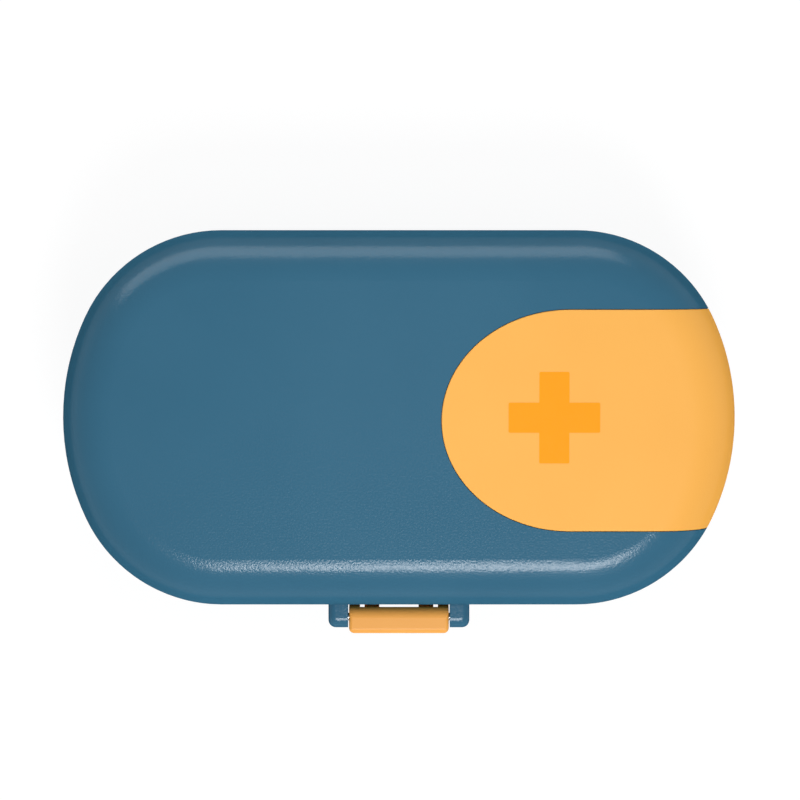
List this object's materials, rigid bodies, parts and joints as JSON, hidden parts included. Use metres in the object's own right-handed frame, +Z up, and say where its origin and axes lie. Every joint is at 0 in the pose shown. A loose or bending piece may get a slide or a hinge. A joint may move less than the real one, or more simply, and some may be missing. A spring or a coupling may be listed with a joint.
{
  "type": "travel pill box",
  "caption": "Rounded plastic travel pill box with a hinged, sealed lid, an inlaid end cover, a front clasp and a lift-out tray with removable dividers.",
  "frame": {"origin": "middle of the flat underside of the base", "axes": "+X along the case towards the coloured end, -Y towards the clasp, +Z up"},
  "size_m": [0.12, 0.0722, 0.032],
  "materials": {
    "case_blue": "fine textured",
    "accent_orange": "satin",
    "tray_white": "satin",
    "divider_frosted": "frosted",
    "seal_silicone": "matte",
    "pin_steel": "drawn"
  },
  "bodies": {
    "base": {"base_shell": "case_blue", "inner_tray": "tray_white", "divider_long": "divider_frosted", "divider_front_1": "divider_frosted", "divider_rear_1": "divider_frosted", "divider_front_2": "divider_frosted", "divider_rear_2": "divider_frosted", "divider_front_3": "divider_frosted", "divider_rear_3": "divider_frosted", "divider_front_4": "divider_frosted", "divider_rear_4": "divider_frosted", "hinge_pin_left": "pin_steel", "hinge_pin_right": "pin_steel"},
    "lid": {"lid_shell": "case_blue", "lid_cover": "accent_orange", "lid_liner": "tray_white", "sealing_ring": "seal_silicone", "latch_pin": "pin_steel"},
    "clasp": {"latch_clasp": "accent_orange"}
  },
  "joints": [
    {"name": "lid_hinge", "type": "hinge", "parent": "base", "child": "lid", "pos_m": [0, 0.0315, 0.0184], "axis": [-1, 0, 0], "range_deg": [0, 105]},
    {"name": "clasp_pivot", "type": "hinge", "parent": "lid", "child": "clasp", "pos_m": [0, -0.03587, 0.02225], "axis": [-1, 0, 0], "range_deg": [0, 90]}
  ]
}
